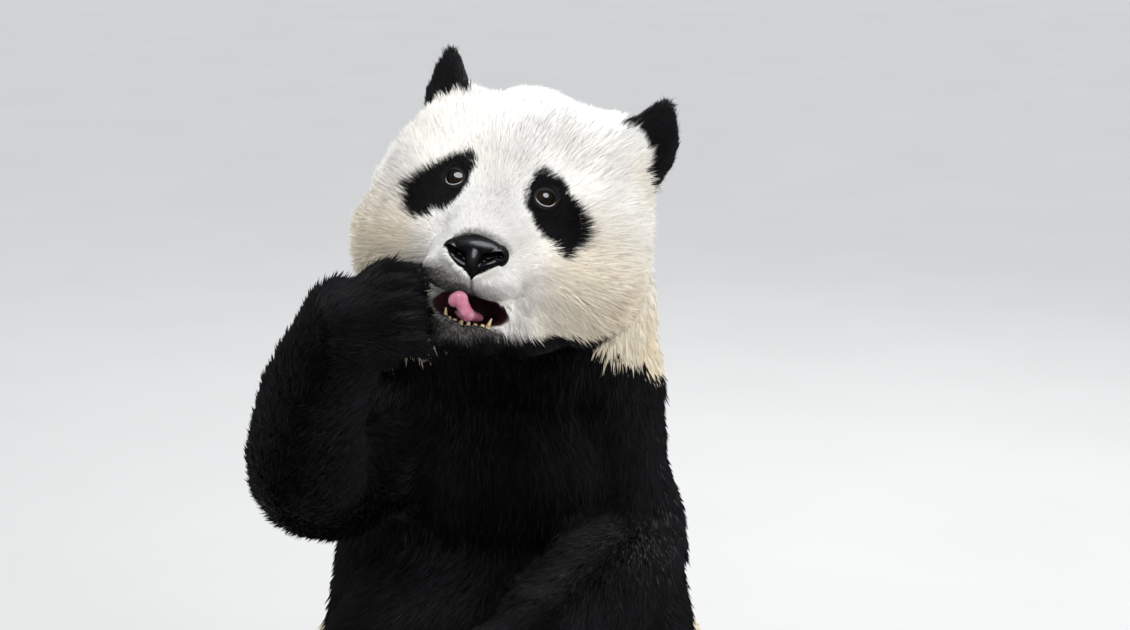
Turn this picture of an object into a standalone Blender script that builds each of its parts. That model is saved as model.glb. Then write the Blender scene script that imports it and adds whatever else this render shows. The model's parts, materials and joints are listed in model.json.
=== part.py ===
"""A giant panda that sits upright with one forepaw raised to its mouth, life size.

Metres, +Z up. The animal faces -Y, its own left side is at +X, and the origin is on the floor
under its rump. Every surface is the outside of the coat. Rounded masses of flesh are fused into
a few bodies, which thin cuts then part into head, jaw, neck, trunk and the lengths of each limb.
"""

import math

import bmesh
import bpy
from mathutils import Euler, Matrix, Vector
from mathutils.bvhtree import BVHTree

# ---------------------------------------------------------------- driving dimensions
GAP = 0.0003                      # left between two pieces that touch
HEAD_WIDTH = 0.332                # across the cheek fur
UNIT = HEAD_WIDTH / 37.4          # the head is 37.4 of its own units wide
HEAD_CENTRE = Vector((0.005, -0.220, 0.800))
HEAD_TURN = math.radians(-9.5)    # towards its right side
HEAD_LIFT = math.radians(-16)     # nose raised
HEAD_ROLL = math.radians(11)      # crown leaning to its left side
TRUNK_WIDENING = 1.18             # the trunk and neck are this much wider than deep

VOXEL = 0.0060                    # grain of the fused bodies
FINE_VOXEL = 0.0020               # grain of the nose and the ears
TRUNK_SOFTENING, LIMB_SOFTENING, FINE_SOFTENING = 26, 5, 6
FACE_KEEP = 0.74                  # share of the trunk's softening that the face is spared
HEAD_TRIANGLES, TRUNK_TRIANGLES = 3600, 1050     # of the whole middle, at each fineness
ARM_TRIANGLES, LEG_TRIANGLES = 500, 440
EAR_TRIANGLES, NOSE_TRIANGLES, TONGUE_TRIANGLES, TAIL_TRIANGLES = 100, 130, 100, 90

LEFT, RIGHT = 1, -1
SIDES = {LEFT: "left", RIGHT: "right"}
DIGITS = (-2, -1, 0, 1, 2)
WORLD = Matrix.Identity(4)

HEAD_POSE = (
    Matrix.Translation(HEAD_CENTRE)
    @ Matrix.Rotation(HEAD_TURN, 4, "Z")
    @ Matrix.Rotation(HEAD_LIFT, 4, "X")
    @ Matrix.Rotation(HEAD_ROLL, 4, "Y")
    @ Matrix.Diagonal((UNIT, UNIT, UNIT, 1))
)

# Each line of the body runs through (point, radius) stations, from its middle outwards.
SPINE = [
    ((0, 0.005, 0.165), 0.180),
    ((0, -0.010, 0.270), 0.190),
    ((0, -0.018, 0.380), 0.174),
    ((0, -0.032, 0.490), 0.159),
    ((0, -0.050, 0.590), 0.150),
    ((0, -0.105, 0.690), 0.146),
    ((0, -0.160, 0.760), 0.140),
]
TAIL = [
    ((0, 0.140, 0.205), 0.040),
    ((0, 0.182, 0.145), 0.047),
    ((0, 0.192, 0.090), 0.040),
]
ARM = {
    LEFT: [
        ((0.096, -0.080, 0.570), 0.086),
        ((0.114, -0.115, 0.490), 0.074),
        ((0.128, -0.155, 0.410), 0.079),     # elbow
        ((0.102, -0.250, 0.388), 0.070),
        ((0.048, -0.330, 0.372), 0.056),     # wrist
    ],
    RIGHT: [
        ((-0.090, -0.090, 0.570), 0.088),
        ((-0.150, -0.160, 0.520), 0.078),
        ((-0.205, -0.220, 0.505), 0.071),    # elbow
        ((-0.205, -0.290, 0.600), 0.063),
        ((-0.163, -0.347, 0.702), 0.055),    # wrist
    ],
}
LEG = [
    ((0.143, -0.060, 0.130), 0.137),
    ((0.210, -0.185, 0.150), 0.122),
    ((0.268, -0.300, 0.145), 0.098),         # knee
    ((0.268, -0.400, 0.098), 0.078),
    ((0.258, -0.475, 0.060), 0.062),         # ankle
]
JOINTS = (2, 4)                              # the stations where a limb is parted
PAW_CUT_BACK = {"fore": 0.0, "hind": 0.030}  # how far before the last one its paw begins

# Each paw has its wrist or ankle, the way its digits run, and the way its back faces.
FOREPAW = {
    LEFT: ((0.048, -0.330, 0.372), (-0.72, -0.58, -0.38), (-0.10, -0.50, 0.80)),
    RIGHT: ((-0.163, -0.347, 0.702), (0.72, -0.42, 0.45), (-0.25, -0.80, 0.50)),
}
HIND_PAW = ((0.258, -0.490, 0.100), (0.14, -0.16, 0.97), (0.10, 0.95, 0.20))
FOREPAW_CURL = {LEFT: 40, RIGHT: 105}        # how far the digits bend, in degrees
HIND_CURL = 20

# The lower front teeth, in head units: across from their middle, back, tip height, radius.
TEETH_MIDDLE = 0.4
TOOTH_ROOT = -15.0
LOWER_TEETH = [(side * x, y, z, r) for side in (-1, 1) for x, y, z, r in (
    (0.42, -13.7, -13.2, 0.34), (1.15, -13.6, -13.2, 0.34), (1.80, -13.4, -13.1, 0.34),
    (2.60, -13.1, -12.3, 0.60),
)]

# Where the head, the neck and the chest end below: a point, and the way up through it.
HEAD_PLANE = ((0, -0.125, 0.760), (0, -0.500, 0.866))
NECK_PLANE = ((0, -0.080, 0.615), (0, 0.100, 0.995))
CHEST_PLANE = ((0, -0.060, 0.378), (0, -0.310, 0.951))

FINISHES = {
    "white_coat": ((0.80, 0.77, 0.70), 0.85),
    "black_coat": ((0.020, 0.020, 0.022), 0.80),
    "nose_leather": ((0.015, 0.015, 0.016), 0.35),
    "eye": ((0.040, 0.020, 0.010), 0.10),
    "claw": ((0.28, 0.23, 0.17), 0.45),
    "tongue": ((0.75, 0.30, 0.32), 0.35),
}


# ---------------------------------------------------------------- tools
def clear_scene():
    for obj in list(bpy.data.objects):
        bpy.data.objects.remove(obj, do_unlink=True)


def mesh_object(name, mesh):
    obj = bpy.data.objects.new(name, mesh)
    bpy.context.scene.collection.objects.link(obj)
    return obj


def removed(*objects):
    for obj in objects:
        bpy.data.objects.remove(obj)


def evaluated_mesh(obj):
    """The object's mesh with its modifiers."""
    bpy.context.view_layer.update()
    graph = bpy.context.evaluated_depsgraph_get()
    return bpy.data.meshes.new_from_object(obj.evaluated_get(graph))


def baked(obj):
    """The same object with its modifiers applied."""
    mesh = evaluated_mesh(obj)
    obj.modifiers.clear()
    obj.vertex_groups.clear()
    obj.data = mesh
    return obj


def joined(name, masses):
    """One object from many bmeshes, which still overlap in it."""
    whole = bmesh.new()
    for bm in masses:
        mesh = bpy.data.meshes.new(name)
        bm.to_mesh(mesh)
        bm.free()
        whole.from_mesh(mesh)
        bpy.data.meshes.remove(mesh)
    mesh = bpy.data.meshes.new(name)
    whole.to_mesh(mesh)
    whole.free()
    return mesh_object(name, mesh)


def mass(centre, radii, frame=WORLD, turn=(0, 0, 0), detail=4):
    """One rounded volume of flesh: an ellipsoid, turned by degrees about its own centre."""
    bm = bmesh.new()
    bmesh.ops.create_icosphere(bm, subdivisions=detail, radius=1)
    spin = Euler([math.radians(a) for a in turn]).to_matrix().to_4x4()
    place = frame @ Matrix.Translation(centre) @ spin @ Matrix.Diagonal((*radii, 1))
    bmesh.ops.transform(bm, matrix=place, verts=bm.verts)
    return bm


def pair(centre, radii, frame=WORLD):
    """The same mass on both sides of the middle plane of its frame."""
    x, y, z = centre
    return [mass((side * x, y, z), radii, frame) for side in SIDES]


def tube(stations, frame=WORLD, sides=32, steps=8):
    """A smooth closed tube through (point, radius) stations, with flat ends."""
    curve = bpy.data.curves.new("tube", "CURVE")
    curve.dimensions = "3D"
    curve.bevel_depth = 1.0
    curve.bevel_resolution = (sides - 4) // 2
    curve.resolution_u = steps
    curve.use_fill_caps = True
    spline = curve.splines.new("BEZIER")
    spline.bezier_points.add(len(stations) - 1)
    for knot, (point, radius) in zip(spline.bezier_points, stations):
        knot.co = point
        knot.radius = radius
        knot.handle_left_type = knot.handle_right_type = "AUTO"
    obj = mesh_object("tube", curve)
    mesh = evaluated_mesh(obj)
    removed(obj)
    bm = bmesh.new()
    bm.from_mesh(mesh)
    bpy.data.meshes.remove(mesh)
    bmesh.ops.remove_doubles(bm, verts=bm.verts, dist=1e-5)
    bmesh.ops.recalc_face_normals(bm, faces=bm.faces)
    bmesh.ops.transform(bm, matrix=frame, verts=bm.verts)
    return bm


def limb(stations, frame=WORLD, sides=32):
    """A tube with round ends."""
    ends = [mass(point, (radius,) * 3, frame) for point, radius in (stations[0], stations[-1])]
    return [tube(stations, frame, sides), *ends]


def on_side(side, stations):
    return [((side * x, y, z), radius) for (x, y, z), radius in stations]


def fused(name, masses, softening, voxel=VOXEL, keep=None):
    """One closed skin round all the masses, with the creases between them softened.

    keep(point) says how far the creases near a point are spared, from 0 to 1.
    """
    obj = joined(name, masses)
    remesh = obj.modifiers.new("fuse", "REMESH")
    remesh.mode = "VOXEL"
    remesh.voxel_size = voxel
    baked(obj)
    smooth = obj.modifiers.new("soften", "SMOOTH")
    smooth.factor = 0.5
    smooth.iterations = softening
    if keep:
        group = obj.vertex_groups.new(name="soft")
        for vertex in obj.data.vertices:
            group.add([vertex.index], 1 - keep(vertex.co), "REPLACE")
        smooth.vertex_group = group.name
    return baked(obj)


def thinned(obj, triangles):
    """The same shape with about this many triangles."""
    thin = obj.modifiers.new("thin", "DECIMATE")
    thin.use_collapse_triangulate = True
    thin.ratio = triangles / (2 * len(obj.data.polygons))
    return baked(obj)


def grown(obj, by=GAP):
    """A copy of a closed object, larger all round by a little."""
    more = mesh_object("grown", obj.data.copy())
    bm = bmesh.new()
    bm.from_mesh(more.data)
    bm.normal_update()
    for vertex in bm.verts:
        vertex.co += vertex.normal * by * min(vertex.calc_shell_factor(), 2)
    bm.to_mesh(more.data)
    bm.free()
    return more


def boolean(obj, cutter, operation="DIFFERENCE"):
    step = obj.modifiers.new("cut", "BOOLEAN")
    step.operation = operation
    step.object = cutter
    return baked(obj)


def box_of(obj):
    places = [vertex.co for vertex in obj.data.vertices]
    return [(min(p[axis] for p in places), max(p[axis] for p in places)) for axis in range(3)]


def near(obj, other):
    """Whether the boxes of two pieces come within the gap of each other."""
    both = zip(box_of(obj), box_of(other))
    return all(a[0] - GAP < b[1] and b[0] - GAP < a[1] for a, b in both)


def press(obj, *others):
    """Makes room in obj for other pieces and the gap round them."""
    for other in others:
        if near(obj, other):
            wider = grown(other)
            boolean(obj, wider)
            removed(wider)


def part_off(name, obj, cutter):
    """The piece of obj inside the cutter; obj keeps the rest, less the gap."""
    piece = mesh_object(name, obj.data.copy())
    boolean(piece, cutter, "INTERSECT")
    press(obj, cutter)
    removed(cutter)
    return piece


def largest_only(obj):
    """Drops the loose slivers that a cut leaves beside the piece itself."""
    bm = bmesh.new()
    bm.from_mesh(obj.data)
    left, islands = set(bm.faces), []
    while left:
        island, queue = [], [left.pop()]
        while queue:
            face = queue.pop()
            island.append(face)
            for edge in face.edges:
                for other in edge.link_faces:
                    if other in left:
                        left.remove(other)
                        queue.append(other)
        islands.append(island)
    islands.sort(key=lambda island: sum(face.calc_area() for face in island))
    for island in islands[:-1]:
        bmesh.ops.delete(bm, geom=island, context="FACES")
    bm.to_mesh(obj.data)
    bm.free()
    return obj


def drum(middle, axis, radius, depth):
    """A short closed cylinder whose base is at middle and which runs along axis."""
    bm = bmesh.new()
    turn = Vector(axis).to_track_quat("Z", "Y").to_matrix().to_4x4()
    place = Matrix.Translation(Vector(middle)) @ turn @ Matrix.Translation((0, 0, depth / 2))
    bmesh.ops.create_cone(bm, cap_ends=True, segments=24, radius1=radius, radius2=radius,
                          depth=depth, matrix=place)
    return joined("drum", [bm])


def frame_from(origin, along, back):
    """A frame with its -Y along the digits and its +Z out of the back of the paw."""
    y = -Vector(along).normalized()
    x = y.cross(Vector(back)).normalized()
    turn = Matrix((x, y, x.cross(y))).transposed().to_4x4()
    return Matrix.Translation(origin) @ turn


# ---------------------------------------------------------------- head and trunk
def head_masses():
    """In head units about the head's centre, nose towards -Y."""
    bridge = [((0, -1.0, 6.5), 6.8), ((0, -6.8, 0.4), 5.4), ((0, -12.2, -5.2), 4.0)]
    made = limb(bridge, HEAD_POSE)
    made += [
        mass((0, 2.5, 3.2), (13.4, 13.0, 13.2), HEAD_POSE),              # cranium
        mass((0, 8.0, -1.0), (13.0, 9.0, 12.0), HEAD_POSE),              # occiput
        mass((0, -8.6, -6.8), (6.3, 7.9, 4.5), HEAD_POSE),               # muzzle
        mass((0, -7.2, -15.1), (5.0, 7.4, 2.7), HEAD_POSE, (8, 0, 0)),   # chin
        mass((0, 0.0, -11.5), (11.0, 9.0, 6.5), HEAD_POSE),              # throat
    ]
    made += pair((7.5, 3.0, 6.8), (8.3, 9.8, 8.6), HEAD_POSE)            # corners of the crown
    made += pair((9.4, 2.0, 0.6), (8.5, 11.0, 10.8), HEAD_POSE)          # temples
    made += pair((9.8, 1.2, -5.0), (9.1, 10.2, 9.8), HEAD_POSE)          # cheeks
    made += pair((6.4, -3.2, -4.6), (6.4, 7.4, 6.6), HEAD_POSE)          # cheekbones
    made += pair((2.7, -12.4, -8.4), (3.4, 3.9, 2.5), HEAD_POSE)         # upper lip
    made += pair((5.4, -1.6, -12.2), (5.6, 7.4, 4.6), HEAD_POSE)         # angle of the jaw
    return made


def trunk_masses():
    made = limb(SPINE, Matrix.Diagonal((TRUNK_WIDENING, 1, 1, 1)))
    made.append(mass((0, -0.140, 0.235), (0.225, 0.180, 0.195)))         # belly
    made.append(mass((0, -0.090, 0.500), (0.150, 0.150, 0.120)))         # breast
    made.append(mass((0, -0.010, 0.600), (0.140, 0.125, 0.090)))         # withers
    made += pair((0.115, 0.020, 0.160), (0.140, 0.155, 0.165))           # haunches
    made += pair((0.097, -0.070, 0.580), (0.088, 0.100, 0.090))          # shoulders
    return made


def face_kept(point):
    """How far the face's creases are spared: in full in front of the ears, not behind them."""
    local = HEAD_POSE.inverted() @ point
    if abs(local.x) > 22 or abs(local.z) > 20 or local.y < -25:
        return 0.0
    return FACE_KEEP * (1 - min(max((local.y + 2) / 6, 0), 1))


def dent(obj, centre, reach, by):
    """Moves the head's surface near a point, fading out smoothly with distance."""
    place, turn = HEAD_POSE @ Vector(centre), HEAD_POSE.to_3x3()
    for vertex in obj.data.vertices:
        near = 1 - (vertex.co - place).length / (reach * UNIT)
        if near > 0:
            vertex.co += turn @ Vector(by) * near * near * (3 - 2 * near)


def make_lower_teeth():
    """Cones set in the front of the jaw, in head units: six small ones between two canines."""
    teeth = []
    for across, back, tip, radius in LOWER_TEETH:
        bm = bmesh.new()
        depth = tip - TOOTH_ROOT
        place = Matrix.Translation((TEETH_MIDDLE + across, back, TOOTH_ROOT + depth / 2))
        bmesh.ops.create_cone(bm, cap_ends=True, segments=5, radius1=radius, radius2=radius / 4,
                              depth=depth, matrix=HEAD_POSE @ place)
        teeth.append(joined("tooth", [bm]))
    return teeth


def make_head_and_trunk():
    """The middle of the body, in one, then parted. The head keeps smaller triangles."""
    trunk = fused("trunk", trunk_masses() + head_masses(), TRUNK_SOFTENING, keep=face_kept)
    for side in SIDES:
        dent(trunk, (side * 5.4, -10.4, 1.6), 5.6, (-0.15 * side, 0.9, 0))
    dent(trunk, (-9.5, 2.0, 12.5), 10.0, (0.6, 0, -1.7))    # its right side is the flatter one,
    dent(trunk, (-14.5, 2.0, 4.0), 11.0, (1.0, 0, -0.3))    # away from the side it leans to
    head = thinned(mesh_object("head", trunk.data.copy()), HEAD_TRIANGLES)
    thinned(trunk, TRUNK_TRIANGLES)
    above = drum(*HEAD_PLANE, 0.30, 0.50)
    boolean(head, above, "INTERSECT")
    press(trunk, above)
    removed(above)
    neck = part_off("neck", trunk, drum(*NECK_PLANE, 0.35, 0.50))
    chest = part_off("chest", trunk, drum(*CHEST_PLANE, 0.45, 0.50))
    mouth = joined("mouth", [mass((0, -9.6, -12.2), (4.5, 6.8, 1.7), HEAD_POSE, detail=2)])
    boolean(head, mouth)
    removed(mouth)
    below = joined("below", [mass((0, -8.0, -16.8), (7.0, 9.6, 4.4), HEAD_POSE, detail=2)])
    jaw = part_off("jaw", head, below)
    for tooth in make_lower_teeth():
        boolean(jaw, tooth, "UNION")
        removed(tooth)
    return head, jaw, neck, chest, trunk


# ---------------------------------------------------------------- pieces of the face
def surface_at(obj, x, z):
    """The point and normal where the front of the head is met at x, z of the head's frame."""
    tree = BVHTree.FromPolygons(
        [vertex.co for vertex in obj.data.vertices],
        [tuple(face.vertices) for face in obj.data.polygons],
    )
    start = HEAD_POSE @ Vector((x, -40, z))
    point, normal, _, _ = tree.ray_cast(start, HEAD_POSE.to_3x3() @ Vector((0, 1, 0)))
    return point, normal


EYE_PLACE = (5.3, 2.4)            # across and up, in head units
EYE_RADIUS = 1.30 * UNIT
EYE_DEPTH = 0.50 * UNIT           # of its centre behind the coat


def make_eye(side, head):
    across, up = EYE_PLACE
    point, normal = surface_at(head, side * across, up)
    centre = point - normal * EYE_DEPTH
    ball = bmesh.new()
    bmesh.ops.create_uvsphere(ball, u_segments=12, v_segments=7, radius=EYE_RADIUS,
                              matrix=Matrix.Translation(centre))
    return joined("eye_" + SIDES[side], [ball])


def make_nose():
    """The bare leather: wide above, with two wings, tapering down to the lip."""
    masses = [
        mass((0, -15.7, -5.9), (3.5, 1.9, 2.0), HEAD_POSE),
        mass((0, -15.7, -7.5), (1.9, 1.5, 1.6), HEAD_POSE),
    ]
    masses += pair((2.1, -15.3, -6.4), (1.7, 1.9, 1.8), HEAD_POSE)
    return thinned(fused("nose", masses, FINE_SOFTENING, FINE_VOXEL), NOSE_TRIANGLES)


def make_tongue():
    """It lies in the jaw, reaches over the lip and curls up towards its right."""
    stations = [((0.5, -8.0, -13.2), 1.1), ((0.6, -12.6, -13.5), 1.3),
                ((-0.3, -15.6, -13.1), 1.3), ((-1.5, -16.2, -11.9), 1.1)]
    tongue = fused("tongue", limb(stations, HEAD_POSE, 12), FINE_SOFTENING, FINE_VOXEL)
    return thinned(tongue, TONGUE_TRIANGLES)


EAR_PLACE = {LEFT: (13.6, 3.0, 12.4), RIGHT: (-11.0, 3.4, 13.0)}   # the right one is drawn in


def make_ear(side):
    """A round cup on a thick root, its hollow turned forwards and out."""
    turn = Matrix.Rotation(math.radians(side * 42), 4, "Z")
    frame = HEAD_POSE @ Matrix.Translation(EAR_PLACE[side]) @ turn
    masses = [mass((0, 0, 0), (5.6, 2.3, 6.6), frame), mass((0, 0.8, -4.0), (4.4, 2.6, 3.4), frame)]
    ear = fused("ear_" + SIDES[side], masses, FINE_SOFTENING, 2 * FINE_VOXEL)
    thinned(ear, EAR_TRIANGLES)
    hollow = joined("hollow", [mass((0, -2.9, 0.8), (3.9, 2.4, 4.5), frame, detail=2)])
    boolean(ear, hollow)
    removed(hollow)
    return ear


# ---------------------------------------------------------------- limbs
def digit_line(digit, curl):
    """One digit's knuckle, last joint and tip, in its paw's frame."""
    bend = math.radians(curl)
    knuckle = Vector((digit * 0.0195, -0.060 + 0.004 * abs(digit), 0.006))
    joint = knuckle + 0.026 * Vector((0.05 * digit, -math.cos(bend / 3), -math.sin(bend / 3)))
    tip = joint + 0.018 * Vector((0.03 * digit, -math.cos(bend), -math.sin(bend)))
    return knuckle, joint, tip


def paw_masses(frame, curl):
    made = [mass((0, -0.034, -0.002), (0.050, 0.050, 0.036), frame)]
    for digit in DIGITS:
        line = zip(digit_line(digit, curl), (0.0175, 0.0170, 0.0150))
        made += limb([(tuple(point), radius) for point, radius in line], frame, 12)
    return made


def foot_masses(frame):
    return paw_masses(frame, HIND_CURL) + [
        mass((0, 0.047, -0.004), (0.052, 0.058, 0.050), frame),          # heel
        mass((0, 0.005, 0.004), (0.049, 0.060, 0.040), frame),           # instep
    ]


def make_claws(paw, word, frame, curl):
    """A curved hook that tapers from the tip of each digit."""
    claws = []
    for digit in DIGITS:
        _, joint, tip = digit_line(digit, curl)
        ahead = (tip - joint).normalized()
        under = Vector((0, -ahead.z, ahead.y))
        stations = [
            (tip + 0.002 * ahead - 0.004 * under, 0.0058),
            (tip + 0.021 * ahead - 0.001 * under, 0.0046),
            (tip + 0.034 * ahead + 0.009 * under, 0.0012),
        ]
        hook = tube([(tuple(p), r) for p, r in stations], frame, sides=6, steps=1)
        claws.append(joined(paw + "_claw_" + word + "_" + str(digit + 3), [hook]))
    return claws


def lengths(obj, stations, along, back, names):
    """Parts a limb at its joints; names run from the trunk outwards, and so do the pieces.

    The paw runs along its own direction, and its cut lies back from the last station.
    """
    points = [Vector(point) for point, _ in stations]
    elbow, wrist = JOINTS
    bend = (points[elbow] - points[elbow - 1]).normalized()
    bend += (points[elbow + 1] - points[elbow]).normalized()
    reach = (points[wrist] - points[wrist - 1]).normalized()
    paw = part_off(names[2], obj, drum(points[wrist] - back * reach, reach + along, 0.20, 0.45))
    lower = part_off(names[1], obj, drum(points[elbow], bend, 0.20, 0.45))
    obj.name = names[0]
    return [obj, lower, paw]


def make_arm(side):
    word, frame = SIDES[side], frame_from(*FOREPAW[side])
    curl = FOREPAW_CURL[side]
    arm = fused("arm", limb(ARM[side]) + paw_masses(frame, curl), LIMB_SOFTENING)
    names = ["upper_arm_" + word, "forearm_" + word, "forepaw_" + word]
    along = Vector(FOREPAW[side][1]).normalized()
    pieces = lengths(thinned(arm, ARM_TRIANGLES), ARM[side], along, PAW_CUT_BACK["fore"], names)
    return pieces, make_claws("fore", word, frame, curl)


def make_leg(side):
    word = SIDES[side]
    origin, along, back = [Vector((side * x, y, z)) for x, y, z in HIND_PAW]
    frame, stations = frame_from(origin, along, back), on_side(side, LEG)
    leg = fused("leg", limb(stations) + foot_masses(frame), LIMB_SOFTENING)
    names = ["thigh_" + word, "shank_" + word, "hind_foot_" + word]
    thinned(leg, LEG_TRIANGLES)
    pieces = lengths(leg, stations, along.normalized(), PAW_CUT_BACK["hind"], names)
    return pieces, make_claws("hind", word, frame, HIND_CURL)


# ---------------------------------------------------------------- the whole animal
def make_floor_cut():
    """A slab whose top is the floor: what it takes off leaves the flats the animal rests on."""
    bm = bmesh.new()
    size = Matrix.Translation((0, -0.1, -0.1)) @ Matrix.Diagonal((2, 2, 0.2, 1))
    bmesh.ops.create_cube(bm, size=1, matrix=size)
    return joined("floor cut", [bm])


def finish_of(name):
    for word, finish in (("claw", "claw"), ("eye", "eye"), ("nose", "nose_leather"),
                         ("tongue", "tongue")):
        if word in name:
            return finish
    white = ("head", "jaw", "neck", "belly", "tail")
    return "white_coat" if name in white else "black_coat"


def make_materials():
    made = {}
    for name, (colour, roughness) in FINISHES.items():
        material = bpy.data.materials.new(name)
        material.use_nodes = True
        shader = material.node_tree.nodes["Principled BSDF"]
        shader.inputs["Base Color"].default_value = (*colour, 1)
        shader.inputs["Roughness"].default_value = roughness
        shader.inputs["Metallic"].default_value = 0
        made[name] = material
    return made


def settle(obj, collection, root, materials):
    """Gives a finished piece its own origin, parent, collection and material."""
    points = [vertex.co for vertex in obj.data.vertices]
    middle = sum(points, Vector()) / len(points)
    obj.data.transform(Matrix.Translation(-middle))
    obj.location = middle
    obj.parent = root
    bpy.context.scene.collection.objects.unlink(obj)
    collection.objects.link(obj)
    obj.data.materials.clear()
    obj.data.materials.append(materials[finish_of(obj.name)])
    obj.data.shade_smooth()
    obj.data.set_sharp_from_angle(angle=math.radians(50))


def main():
    clear_scene()
    head, jaw, neck, chest, belly = make_head_and_trunk()
    belly.name = "belly"
    eyes = [make_eye(side, head) for side in SIDES]
    ears = [make_ear(side) for side in SIDES]
    nose, tongue = make_nose(), make_tongue()
    tail = thinned(fused("tail", limb(TAIL), LIMB_SOFTENING), TAIL_TRIANGLES)
    press(head, *eyes, *ears, nose, tongue)
    press(jaw, tongue)
    press(belly, tail)
    limbs = []
    for side in SIDES:
        for make in (make_leg, make_arm):
            pieces, claws = make(side)
            press(pieces[-1], *claws)
            for piece in pieces:
                for middle in (neck, chest, belly, head, jaw):
                    if piece.name.startswith("fore"):
                        press(middle, piece)
            for piece in pieces:
                if not piece.name.startswith("fore"):
                    press(piece, neck, chest, belly)
            limbs += pieces + claws
    pieces = [head, jaw, neck, chest, belly, nose, tongue, tail, *eyes, *ears, *limbs]
    floor_cut = make_floor_cut()
    for piece in pieces:
        if min(vertex.co.z for vertex in piece.data.vertices) < 0:
            boolean(piece, floor_cut)
        largest_only(piece)
    removed(floor_cut)
    collection = bpy.data.collections.new("giant panda")
    bpy.context.scene.collection.children.link(collection)
    root = bpy.data.objects.new("panda", None)
    collection.objects.link(root)
    materials = make_materials()
    for piece in pieces:
        settle(piece, collection, root, materials)


main()
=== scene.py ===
"""A giant panda that sits upright with one forepaw raised to its mouth: its skin, coat and face.

Metres, +Z up. The animal faces -Y and its own left side is at +X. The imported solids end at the
tips of the coat. One skin lies inside them by the coat's depth and carries the tufts.
"""

import json
import math

import bmesh
import bpy
import numpy as np
from mathutils import Matrix, Vector
from mathutils.bvhtree import BVHTree

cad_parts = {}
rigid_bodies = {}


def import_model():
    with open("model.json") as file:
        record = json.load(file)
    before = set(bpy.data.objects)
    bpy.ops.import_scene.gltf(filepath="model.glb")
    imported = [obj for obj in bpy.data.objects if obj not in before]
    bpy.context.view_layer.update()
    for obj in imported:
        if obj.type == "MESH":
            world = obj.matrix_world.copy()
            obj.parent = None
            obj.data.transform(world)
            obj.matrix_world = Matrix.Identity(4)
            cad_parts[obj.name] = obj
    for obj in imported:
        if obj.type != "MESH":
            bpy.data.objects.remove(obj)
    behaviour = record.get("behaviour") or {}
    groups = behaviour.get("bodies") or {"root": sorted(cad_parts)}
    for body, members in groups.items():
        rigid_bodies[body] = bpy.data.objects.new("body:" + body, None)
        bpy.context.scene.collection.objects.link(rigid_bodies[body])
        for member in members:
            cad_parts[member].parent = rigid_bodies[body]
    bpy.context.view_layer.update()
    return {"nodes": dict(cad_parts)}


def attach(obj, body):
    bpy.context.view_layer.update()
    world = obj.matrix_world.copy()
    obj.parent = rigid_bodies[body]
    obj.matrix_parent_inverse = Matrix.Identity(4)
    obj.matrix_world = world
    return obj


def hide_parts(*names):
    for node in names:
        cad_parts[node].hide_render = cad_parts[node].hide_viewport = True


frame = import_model()
nodes = frame["nodes"]
LEFT, RIGHT = 1, -1
SIDES = {LEFT: "left", RIGHT: "right"}


# ---------------- the head's own measures
# The face is laid out in head units, about 9 mm each, in a frame that turns with the head:
# +X towards its left, -Y out of the nose, +Z up through the crown. It is found from three
# pieces whose places in it are known: the two eyes and the nose.
EYES_APART, EYE_BACK, EYE_UP = 10.22, -8.11, 2.48
NOSE_BACK, NOSE_UP = -15.41, -6.54


def corners_of(name):
    """The places of a solid's corners, each once."""
    points = np.array([vertex.co for vertex in nodes[name].data.vertices])
    return np.unique(np.round(points, 6), axis=0)


def middle_of(name):
    return Vector(corners_of(name).mean(axis=0))


def head_frame():
    eyes = [middle_of("eye_" + word) for word in SIDES.values()]
    across = (eyes[0] - eyes[1]).normalized()
    unit = (eyes[0] - eyes[1]).length / EYES_APART
    rise = (eyes[0] + eyes[1]) / 2 - middle_of("nose")
    rise = (rise - rise.dot(across) * across).normalized()
    slope = math.atan2(EYE_UP - NOSE_UP, EYE_BACK - NOSE_BACK)
    back = Matrix.Rotation(-slope, 3, across) @ rise
    turn = Matrix((across, back, across.cross(back))).transposed()
    origin = (eyes[0] + eyes[1]) / 2 - turn @ Vector((0, EYE_BACK, EYE_UP)) * unit
    return Matrix.Translation(origin) @ (turn * unit).to_4x4()


HEAD = head_frame()
UNIT = HEAD.to_3x3().col[0].length


def to_head(points):
    """World places as rows, in head units."""
    inverse = np.array(HEAD.inverted())
    return points @ inverse[:3, :3].T + inverse[:3, 3]


def from_head(points):
    place = np.array(HEAD)
    return points @ place[:3, :3].T + place[:3, 3]


def turned_by_head(vectors):
    """Directions given in the head's frame, as unit rows in the world."""
    return unit_rows(np.atleast_2d(vectors) @ (np.array(HEAD)[:3, :3] / UNIT).T)


def unit_rows(rows):
    return rows / np.maximum(np.linalg.norm(rows, axis=-1, keepdims=True), 1e-6)


def flat_on(rows, up):
    """Directions as rows, less what they have along the unit rows up."""
    return rows - (rows * up).sum(axis=1, keepdims=True) * up


def ramp(low, high, values):
    """0 below low, 1 above high, and a smooth step between."""
    t = np.clip((values - low) / (high - low), 0, 1)
    return t * t * (3 - 2 * t)


def waves(points, size, seed):
    """Smooth noise between about -1 and 1, with lumps of about this size, at rows of places."""
    draw = np.random.default_rng(seed)
    total = np.zeros(len(points))
    for _ in range(7):
        direction = draw.normal(size=3)
        direction *= draw.uniform(0.6, 1.6) * 2.6 / (size * np.linalg.norm(direction))
        total += np.sin(points @ direction + draw.uniform(0, 6.28))
    return total / 3.2


# ---------------- skin
# One hide over the whole animal, from lips to tail, with no seam. The solids of flesh are
# fused, drawn in by the depth of the coat, and given the folds of the face.
GRAIN = 0.0068                    # of the fused hide, before the face is made finer
OVERLAP = 0.0004                  # each solid grows by this, to close the gaps between them
FUSED_EVENED, BODY_EVENED, LIE_EVENED = 5, 12, 8      # rounds of smoothing
NOT_FLESH = ("claw", "eye", "tongue")
FLESH = [name for name in sorted(nodes) if not any(word in name for word in NOT_FLESH)]

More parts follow.
